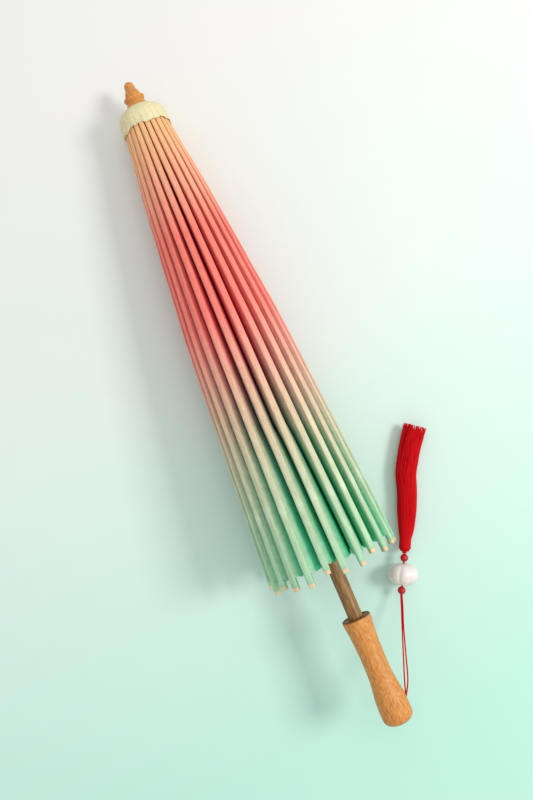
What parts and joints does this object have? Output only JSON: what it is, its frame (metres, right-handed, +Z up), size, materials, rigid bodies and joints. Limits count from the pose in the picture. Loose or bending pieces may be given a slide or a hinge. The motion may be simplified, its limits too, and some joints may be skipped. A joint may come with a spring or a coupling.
{
  "type": "oil paper umbrella",
  "caption": "closed oil paper umbrella with bamboo ribs that open from a sliding runner, turned wood finial and handle, cloth cap, and a cord with beads and a tassel",
  "frame": {"origin": "middle of the bottom of the umbrella without its cord, beads and tassel, on the floor that it lies on", "axes": "+X along the umbrella from the finial to the handle, +Y to the side where the tassel lies, +Z up"},
  "size_m": [0.5827, 0.177, 0.1116],
  "materials": {
    "bamboo": "satin",
    "turned_wood": "satin",
    "notch_wood": "matte",
    "wire": "satin",
    "cap_cloth": "matte",
    "red_thread": "satin",
    "red_bead": "gloss",
    "frosted": "satin",
    "rib_bamboo": "satin",
    "oiled_paper": "satin"
  },
  "bodies": {
    "stick": {"shaft": "bamboo", "handle": "turned_wood", "finial": "turned_wood", "top_notch": "notch_wood", "notch_wire": "wire", "head_cap": "cap_cloth", "spring_catch": "bamboo", "cord": "red_thread", "red_beads": "red_bead", "frosted_bead": "frosted", "tassel": "red_thread"},
    "runner": {"runner": "notch_wood"},
    "rib_01": {"rib_01": "rib_bamboo"},
    "panel_01": {"paper_panel_01": "oiled_paper"},
    "rib_02": {"rib_02": "rib_bamboo"},
    "panel_02": {"paper_panel_02": "oiled_paper"},
    "rib_03": {"rib_03": "rib_bamboo"},
    "panel_03": {"paper_panel_03": "oiled_paper"},
    "rib_04": {"rib_04": "rib_bamboo"},
    "panel_04": {"paper_panel_04": "oiled_paper"},
    "rib_05": {"rib_05": "rib_bamboo"},
    "panel_05": {"paper_panel_05": "oiled_paper"},
    "rib_06": {"rib_06": "rib_bamboo"},
    "panel_06": {"paper_panel_06": "oiled_paper"},
    "rib_07": {"rib_07": "rib_bamboo"},
    "panel_07": {"paper_panel_07": "oiled_paper"},
    "rib_08": {"rib_08": "rib_bamboo"},
    "panel_08": {"paper_panel_08": "oiled_paper"},
    "rib_09": {"rib_09": "rib_bamboo"},
    "panel_09": {"paper_panel_09": "oiled_paper"},
    "rib_10": {"rib_10": "rib_bamboo"},
    "panel_10": {"paper_panel_10": "oiled_paper"},
    "rib_11": {"rib_11": "rib_bamboo"},
    "panel_11": {"paper_panel_11": "oiled_paper"},
    "rib_12": {"rib_12": "rib_bamboo"},
    "panel_12": {"paper_panel_12": "oiled_paper"},
    "rib_13": {"rib_13": "rib_bamboo"},
    "panel_13": {"paper_panel_13": "oiled_paper"},
    "rib_14": {"rib_14": "rib_bamboo"},
    "panel_14": {"paper_panel_14": "oiled_paper"},
    "rib_15": {"rib_15": "rib_bamboo"},
    "panel_15": {"paper_panel_15": "oiled_paper"},
    "rib_16": {"rib_16": "rib_bamboo"},
    "panel_16": {"paper_panel_16": "oiled_paper"},
    "rib_17": {"rib_17": "rib_bamboo"},
    "panel_17": {"paper_panel_17": "oiled_paper"},
    "rib_18": {"rib_18": "rib_bamboo"},
    "panel_18": {"paper_panel_18": "oiled_paper"},
    "rib_19": {"rib_19": "rib_bamboo"},
    "panel_19": {"paper_panel_19": "oiled_paper"},
    "rib_20": {"rib_20": "rib_bamboo"},
    "panel_20": {"paper_panel_20": "oiled_paper"},
    "rib_21": {"rib_21": "rib_bamboo"},
    "panel_21": {"paper_panel_21": "oiled_paper"},
    "rib_22": {"rib_22": "rib_bamboo"},
    "panel_22": {"paper_panel_22": "oiled_paper"},
    "rib_23": {"rib_23": "rib_bamboo"},
    "panel_23": {"paper_panel_23": "oiled_paper"},
    "rib_24": {"rib_24": "rib_bamboo"},
    "panel_24": {"paper_panel_24": "oiled_paper"}
  },
  "joints": [
    {"name": "runner_slide", "type": "slide", "parent": "stick", "child": "runner", "axis": [-0.9977, 0, -0.068], "range_m": [0, 0.232], "deforming": ["cord", "tassel", "head_cap", "paper_panel_01", "paper_panel_02", "paper_panel_03", "paper_panel_04", "paper_panel_05", "paper_panel_06", "paper_panel_07", "paper_panel_08", "paper_panel_09", "paper_panel_10", "paper_panel_11", "paper_panel_12", "paper_panel_13", "paper_panel_14", "paper_panel_15", "paper_panel_16", "paper_panel_17", "paper_panel_18", "paper_panel_19", "paper_panel_20", "paper_panel_21", "paper_panel_22", "paper_panel_23", "paper_panel_24"]},
    {"name": "rib_01_pivot", "type": "hinge", "parent": "stick", "child": "rib_01", "pos_m": [-0.25696, 0.00225, 0.045], "axis": [-0.0089, -0.9914, 0.1302], "range_deg": [0, 70]},
    {"name": "panel_01_fold", "type": "hinge", "parent": "rib_01", "child": "panel_01", "pos_m": [-0.25715, 0.00706, 0.04722], "axis": [-0.9921, -0.1233, 0.0221], "range_deg": [0, 74.24]},
    {"name": "rib_02_pivot", "type": "hinge", "parent": "stick", "child": "rib_02", "pos_m": [-0.25688, 0.00658, 0.04384], "axis": [-0.026, -0.9239, 0.3818], "range_deg": [0, 70]},
    {"name": "panel_02_fold", "type": "hinge", "parent": "rib_02", "child": "panel_02", "pos_m": [-0.25698, 0.01181, 0.04474], "axis": [-0.9941, -0.0959, 0.0509], "range_deg": [0, 74.24]},
    {"name": "rib_03_pivot", "type": "hinge", "parent": "stick", "child": "rib_03", "pos_m": [-0.25673, 0.01047, 0.0416], "axis": [-0.0414, -0.7934, 0.6074], "range_deg": [0, 70]},
    {"name": "panel_03_fold", "type": "hinge", "parent": "rib_03", "child": "panel_03", "pos_m": [-0.25673, 0.01576, 0.04112], "axis": [-0.9955, -0.062, 0.0717], "range_deg": [0, 74.24]},
    {"name": "rib_04_pivot", "type": "hinge", "parent": "stick", "child": "rib_04", "pos_m": [-0.25651, 0.01365, 0.03843], "axis": [-0.054, -0.6088, 0.7915], "range_deg": [0, 70]},
    {"name": "panel_04_fold", "type": "hinge", "parent": "rib_04", "child": "panel_04", "pos_m": [-0.25643, 0.01863, 0.0366], "axis": [-0.9963, -0.0239, 0.0829], "range_deg": [0, 74.24]},
    {"name": "rib_05_pivot", "type": "hinge", "parent": "stick", "child": "rib_05", "pos_m": [-0.25625, 0.01589, 0.03455], "axis": [-0.0628, -0.3827, 0.9217], "range_deg": [0, 70]},
    {"name": "panel_05_fold", "type": "hinge", "parent": "rib_05", "child": "panel_05", "pos_m": [-0.25608, 0.02023, 0.0315], "axis": [-0.9963, 0.0159, 0.084], "range_deg": [0, 74.24]},
    {"name": "rib_06_pivot", "type": "hinge", "parent": "stick", "child": "rib_06", "pos_m": [-0.25595, 0.01705, 0.03022], "axis": [-0.0674, -0.1305, 0.9891], "range_deg": [0, 70]},
    {"name": "panel_06_fold", "type": "hinge", "parent": "rib_06", "child": "panel_06", "pos_m": [-0.25571, 0.02046, 0.02616], "axis": [-0.9957, 0.0546, 0.0747], "range_deg": [0, 74.24]},
    {"name": "rib_07_pivot", "type": "hinge", "parent": "stick", "child": "rib_07", "pos_m": [-0.25565, 0.01705, 0.02575], "axis": [-0.0674, 0.1305, 0.9891], "range_deg": [0, 70]},
    {"name": "panel_07_fold", "type": "hinge", "parent": "rib_07", "child": "panel_07", "pos_m": [-0.25536, 0.01928, 0.02094], "axis": [-0.9944, 0.0896, 0.0558], "range_deg": [0, 74.24]},
    {"name": "rib_08_pivot", "type": "hinge", "parent": "stick", "child": "rib_08", "pos_m": [-0.25535, 0.01589, 0.02142], "axis": [-0.0628, 0.3827, 0.9217], "range_deg": [0, 70]},
    {"name": "panel_08_fold", "type": "hinge", "parent": "rib_08", "child": "panel_08", "pos_m": [-0.25503, 0.0168, 0.0162], "axis": [-0.9926, 0.1184, 0.0285], "range_deg": [0, 74.24]},
    {"name": "rib_09_pivot", "type": "hinge", "parent": "stick", "child": "rib_09", "pos_m": [-0.25509, 0.01365, 0.01754], "axis": [-0.054, 0.6088, 0.7915], "range_deg": [0, 70]},
    {"name": "panel_09_fold", "type": "hinge", "parent": "rib_09", "child": "panel_09", "pos_m": [-0.25477, 0.01317, 0.01226], "axis": [-0.9902, 0.1392, -0.0054], "range_deg": [0, 74.24]},
    {"name": "rib_10_pivot", "type": "hinge", "parent": "stick", "child": "rib_10", "pos_m": [-0.25487, 0.01047, 0.01437], "axis": [-0.0414, 0.7934, 0.6074], "range_deg": [0, 70]},
    {"name": "panel_10_fold", "type": "hinge", "parent": "rib_10", "child": "panel_10", "pos_m": [-0.25457, 0.00864, 0.0094], "axis": [-0.9877, 0.1505, -0.0434], "range_deg": [0, 74.24]},
    {"name": "rib_11_pivot", "type": "hinge", "parent": "stick", "child": "rib_11", "pos_m": [-0.25472, 0.00658, 0.01213], "axis": [-0.026, 0.9239, 0.3818], "range_deg": [0, 70]},
    {"name": "panel_11_fold", "type": "hinge", "parent": "rib_11", "child": "panel_11", "pos_m": [-0.25446, 0.00353, 0.0078], "axis": [-0.985, 0.1515, -0.0831], "range_deg": [0, 74.24]},
    {"name": "rib_12_pivot", "type": "hinge", "parent": "stick", "child": "rib_12", "pos_m": [-0.25464, 0.00225, 0.01097], "axis": [-0.0089, 0.9914, 0.1302], "range_deg": [0, 70]},
    {"name": "panel_12_fold", "type": "hinge", "parent": "rib_12", "child": "panel_12", "pos_m": [-0.25445, -0.00183, 0.00758], "axis": [-0.9823, 0.1423, -0.1217], "range_deg": [0, 74.24]},
    {"name": "rib_13_pivot", "type": "hinge", "parent": "stick", "child": "rib_13", "pos_m": [-0.25464, -0.00225, 0.01097], "axis": [0.0089, 0.9914, -0.1302], "range_deg": [0, 70]},
    {"name": "panel_13_fold", "type": "hinge", "parent": "rib_13", "child": "panel_13", "pos_m": [-0.25453, -0.00706, 0.00874], "axis": [-0.9799, 0.1233, -0.1566], "range_deg": [0, 74.24]},
    {"name": "rib_14_pivot", "type": "hinge", "parent": "stick", "child": "rib_14", "pos_m": [-0.25472, -0.00658, 0.01213], "axis": [0.026, 0.9239, -0.3818], "range_deg": [0, 70]},
    {"name": "panel_14_fold", "type": "hinge", "parent": "rib_14", "child": "panel_14", "pos_m": [-0.2547, -0.01181, 0.01122], "axis": [-0.978, 0.0959, -0.1854], "range_deg": [0, 74.24]},
    {"name": "rib_15_pivot", "type": "hinge", "parent": "stick", "child": "rib_15", "pos_m": [-0.25487, -0.01047, 0.01437], "axis": [0.0414, 0.7934, -0.6074], "range_deg": [0, 70]},
    {"name": "panel_15_fold", "type": "hinge", "parent": "rib_15", "child": "panel_15", "pos_m": [-0.25494, -0.01576, 0.01484], "axis": [-0.9766, 0.062, -0.2061], "range_deg": [0, 74.24]},
    {"name": "rib_16_pivot", "type": "hinge", "parent": "stick", "child": "rib_16", "pos_m": [-0.25509, -0.01365, 0.01754], "axis": [0.054, 0.6088, -0.7915], "range_deg": [0, 70]},
    {"name": "panel_16_fold", "type": "hinge", "parent": "rib_16", "child": "panel_16", "pos_m": [-0.25525, -0.01863, 0.01936], "axis": [-0.9758, 0.0239, -0.2174], "range_deg": [0, 74.24]},
    {"name": "rib_17_pivot", "type": "hinge", "parent": "stick", "child": "rib_17", "pos_m": [-0.25535, -0.01589, 0.02142], "axis": [0.0628, 0.3827, -0.9217], "range_deg": [0, 70]},
    {"name": "panel_17_fold", "type": "hinge", "parent": "rib_17", "child": "panel_17", "pos_m": [-0.2556, -0.02023, 0.02446], "axis": [-0.9757, -0.0159, -0.2184], "range_deg": [0, 74.24]},
    {"name": "rib_18_pivot", "type": "hinge", "parent": "stick", "child": "rib_18", "pos_m": [-0.25565, -0.01705, 0.02575], "axis": [0.0674, 0.1305, -0.9891], "range_deg": [0, 70]},
    {"name": "panel_18_fold", "type": "hinge", "parent": "rib_18", "child": "panel_18", "pos_m": [-0.25596, -0.02046, 0.02981], "axis": [-0.9764, -0.0546, -0.2092], "range_deg": [0, 74.24]},
    {"name": "rib_19_pivot", "type": "hinge", "parent": "stick", "child": "rib_19", "pos_m": [-0.25595, -0.01705, 0.03022], "axis": [0.0674, -0.1305, -0.9891], "range_deg": [0, 70]},
    {"name": "panel_19_fold", "type": "hinge", "parent": "rib_19", "child": "panel_19", "pos_m": [-0.25632, -0.01928, 0.03503], "axis": [-0.9776, -0.0896, -0.1902], "range_deg": [0, 74.24]},
    {"name": "rib_20_pivot", "type": "hinge", "parent": "stick", "child": "rib_20", "pos_m": [-0.25625, -0.01589, 0.03455], "axis": [0.0628, -0.3827, -0.9217], "range_deg": [0, 70]},
    {"name": "panel_20_fold", "type": "hinge", "parent": "rib_20", "child": "panel_20", "pos_m": [-0.25664, -0.0168, 0.03977], "axis": [-0.9795, -0.1184, -0.1629], "range_deg": [0, 74.24]},
    {"name": "rib_21_pivot", "type": "hinge", "parent": "stick", "child": "rib_21", "pos_m": [-0.25651, -0.01365, 0.03843], "axis": [0.054, -0.6088, -0.7915], "range_deg": [0, 70]},
    {"name": "panel_21_fold", "type": "hinge", "parent": "rib_21", "child": "panel_21", "pos_m": [-0.25691, -0.01317, 0.0437], "axis": [-0.9818, -0.1392, -0.1291], "range_deg": [0, 74.24]},
    {"name": "rib_22_pivot", "type": "hinge", "parent": "stick", "child": "rib_22", "pos_m": [-0.25673, -0.01047, 0.0416], "axis": [0.0414, -0.7934, -0.6074], "range_deg": [0, 70]},
    {"name": "panel_22_fold", "type": "hinge", "parent": "rib_22", "child": "panel_22", "pos_m": [-0.2571, -0.00864, 0.04657], "axis": [-0.9844, -0.1505, -0.091], "range_deg": [0, 74.24]},
    {"name": "rib_23_pivot", "type": "hinge", "parent": "stick", "child": "rib_23", "pos_m": [-0.25688, -0.00658, 0.04384], "axis": [0.026, -0.9239, -0.3818], "range_deg": [0, 70]},
    {"name": "panel_23_fold", "type": "hinge", "parent": "rib_23", "child": "panel_23", "pos_m": [-0.25721, -0.00353, 0.04817], "axis": [-0.9871, -0.1515, -0.0513], "range_deg": [0, 74.24]},
    {"name": "rib_24_pivot", "type": "hinge", "parent": "stick", "child": "rib_24", "pos_m": [-0.25696, -0.00225, 0.045], "axis": [0.0089, -0.9914, -0.1302], "range_deg": [0, 70]},
    {"name": "panel_24_fold", "type": "hinge", "parent": "rib_24", "child": "panel_24", "pos_m": [-0.25723, 0.00183, 0.04839], "axis": [-0.9897, -0.1423, -0.0128], "range_deg": [0, 74.24]}
  ],
  "couplings": [
    {"joint": "rib_01_pivot", "follows": "runner_slide", "rad_per_m": 5.2661},
    {"joint": "panel_01_fold", "follows": "runner_slide", "rad_per_m": 5.5852},
    {"joint": "rib_02_pivot", "follows": "runner_slide", "rad_per_m": 5.2661},
    {"joint": "panel_02_fold", "follows": "runner_slide", "rad_per_m": 5.5852},
    {"joint": "rib_03_pivot", "follows": "runner_slide", "rad_per_m": 5.2661},
    {"joint": "panel_03_fold", "follows": "runner_slide", "rad_per_m": 5.5852},
    {"joint": "rib_04_pivot", "follows": "runner_slide", "rad_per_m": 5.2661},
    {"joint": "panel_04_fold", "follows": "runner_slide", "rad_per_m": 5.5852},
    {"joint": "rib_05_pivot", "follows": "runner_slide", "rad_per_m": 5.2661},
    {"joint": "panel_05_fold", "follows": "runner_slide", "rad_per_m": 5.5852},
    {"joint": "rib_06_pivot", "follows": "runner_slide", "rad_per_m": 5.2661},
    {"joint": "panel_06_fold", "follows": "runner_slide", "rad_per_m": 5.5852},
    {"joint": "rib_07_pivot", "follows": "runner_slide", "rad_per_m": 5.2661},
    {"joint": "panel_07_fold", "follows": "runner_slide", "rad_per_m": 5.5852},
    {"joint": "rib_08_pivot", "follows": "runner_slide", "rad_per_m": 5.2661},
    {"joint": "panel_08_fold", "follows": "runner_slide", "rad_per_m": 5.5852},
    {"joint": "rib_09_pivot", "follows": "runner_slide", "rad_per_m": 5.2661},
    {"joint": "panel_09_fold", "follows": "runner_slide", "rad_per_m": 5.5852},
    {"joint": "rib_10_pivot", "follows": "runner_slide", "rad_per_m": 5.2661},
    {"joint": "panel_10_fold", "follows": "runner_slide", "rad_per_m": 5.5852},
    {"joint": "rib_11_pivot", "follows": "runner_slide", "rad_per_m": 5.2661},
    {"joint": "panel_11_fold", "follows": "runner_slide", "rad_per_m": 5.5852},
    {"joint": "rib_12_pivot", "follows": "runner_slide", "rad_per_m": 5.2661},
    {"joint": "panel_12_fold", "follows": "runner_slide", "rad_per_m": 5.5852},
    {"joint": "rib_13_pivot", "follows": "runner_slide", "rad_per_m": 5.2661},
    {"joint": "panel_13_fold", "follows": "runner_slide", "rad_per_m": 5.5852},
    {"joint": "rib_14_pivot", "follows": "runner_slide", "rad_per_m": 5.2661},
    {"joint": "panel_14_fold", "follows": "runner_slide", "rad_per_m": 5.5852},
    {"joint": "rib_15_pivot", "follows": "runner_slide", "rad_per_m": 5.2661},
    {"joint": "panel_15_fold", "follows": "runner_slide", "rad_per_m": 5.5852},
    {"joint": "rib_16_pivot", "follows": "runner_slide", "rad_per_m": 5.2661},
    {"joint": "panel_16_fold", "follows": "runner_slide", "rad_per_m": 5.5852},
    {"joint": "rib_17_pivot", "follows": "runner_slide", "rad_per_m": 5.2661},
    {"joint": "panel_17_fold", "follows": "runner_slide", "rad_per_m": 5.5852},
    {"joint": "rib_18_pivot", "follows": "runner_slide", "rad_per_m": 5.2661},
    {"joint": "panel_18_fold", "follows": "runner_slide", "rad_per_m": 5.5852},
    {"joint": "rib_19_pivot", "follows": "runner_slide", "rad_per_m": 5.2661},
    {"joint": "panel_19_fold", "follows": "runner_slide", "rad_per_m": 5.5852},
    {"joint": "rib_20_pivot", "follows": "runner_slide", "rad_per_m": 5.2661},
    {"joint": "panel_20_fold", "follows": "runner_slide", "rad_per_m": 5.5852},
    {"joint": "rib_21_pivot", "follows": "runner_slide", "rad_per_m": 5.2661},
    {"joint": "panel_21_fold", "follows": "runner_slide", "rad_per_m": 5.5852},
    {"joint": "rib_22_pivot", "follows": "runner_slide", "rad_per_m": 5.2661},
    {"joint": "panel_22_fold", "follows": "runner_slide", "rad_per_m": 5.5852},
    {"joint": "rib_23_pivot", "follows": "runner_slide", "rad_per_m": 5.2661},
    {"joint": "panel_23_fold", "follows": "runner_slide", "rad_per_m": 5.5852},
    {"joint": "rib_24_pivot", "follows": "runner_slide", "rad_per_m": 5.2661},
    {"joint": "panel_24_fold", "follows": "runner_slide", "rad_per_m": 5.5852}
  ]
}
